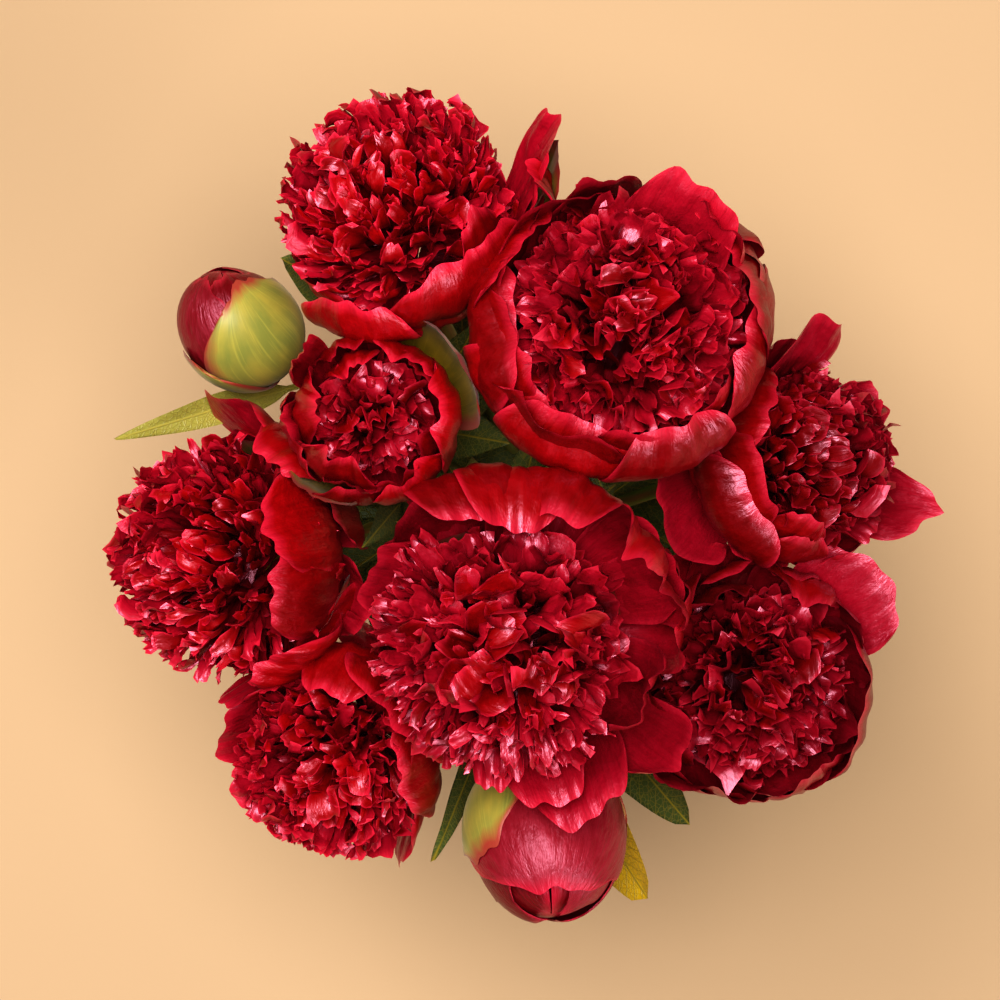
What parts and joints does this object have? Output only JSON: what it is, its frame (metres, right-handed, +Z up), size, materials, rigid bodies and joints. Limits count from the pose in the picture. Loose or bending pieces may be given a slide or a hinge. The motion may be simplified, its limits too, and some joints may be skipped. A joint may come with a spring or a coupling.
{
  "type": "bunch of peonies",
  "caption": "Hand-tied bunch of dark crimson double peonies with opening buds and leaves, standing on the level-cut feet of its spiralled, twine-tied stems.",
  "frame": {"origin": "middle of the bunch's outline seen from above, on the plane of the cut stem ends that it stands on", "axes": "+Z up from the cut stem ends to the flower heads; +Y towards the large ball-shaped bloom with the two buds at the far left and at the near side; +X towards the bloom on the right"},
  "size_m": [0.3194, 0.3306, 0.4479],
  "materials": {
    "inner_petals": "deep crimson crowded petals with brighter edges, soft satin sheen",
    "guard_petals": "crimson petals with fine veins and a broad pink satin sheen",
    "bud_petals": "smooth crimson-pink petals with fine pale curved stripes",
    "sepals": "yellow-green, finely veined, with pink and brown edges",
    "stems": "smooth green stalk with faint ridges and a reddish flush",
    "leaves": "dark green, waxy, with yellowish veins",
    "twine": "rough twisted natural jute"
  },
  "bodies": {
    "root": {"peony_1_inner_petals": "inner_petals", "peony_1_guard_petals": "guard_petals", "peony_1_sepals": "sepals", "peony_1_stem": "stems", "peony_2_inner_petals": "inner_petals", "peony_2_guard_petals": "guard_petals", "peony_2_sepals": "sepals", "peony_2_stem": "stems", "peony_3_inner_petals": "inner_petals", "peony_3_guard_petals": "guard_petals", "peony_3_sepals": "sepals", "peony_3_stem": "stems", "peony_4_inner_petals": "inner_petals", "peony_4_guard_petals": "guard_petals", "peony_4_sepals": "sepals", "peony_4_stem": "stems", "peony_5_inner_petals": "inner_petals", "peony_5_guard_petals": "guard_petals", "peony_5_sepals": "sepals", "peony_5_stem": "stems", "peony_6_inner_petals": "inner_petals", "peony_6_guard_petals": "guard_petals", "peony_6_sepals": "sepals", "peony_6_stem": "stems", "peony_7_inner_petals": "inner_petals", "peony_7_guard_petals": "guard_petals", "peony_7_sepals": "sepals", "peony_7_stem": "stems", "peony_8_inner_petals": "inner_petals", "peony_8_guard_petals": "guard_petals", "peony_8_sepals": "sepals", "peony_8_stem": "stems", "bud_1_closed_petals": "bud_petals", "bud_1_sepals": "sepals", "bud_1_stem": "stems", "bud_2_closed_petals": "bud_petals", "bud_2_sepals": "sepals", "bud_2_stem": "stems", "twine_tie": "twine", "leaf_01": "leaves", "leaf_02": "leaves", "leaf_03": "leaves", "leaf_04": "leaves", "leaf_05": "leaves", "leaf_06": "leaves", "leaf_07": "leaves", "leaf_08": "leaves", "leaf_09": "leaves", "leaf_10": "leaves", "leaf_11": "leaves", "leaf_12": "leaves", "leaf_13": "leaves", "leaf_14": "leaves", "leaf_15": "leaves", "leaf_16": "leaves", "leaf_17": "leaves"}
  },
  "joints": []
}
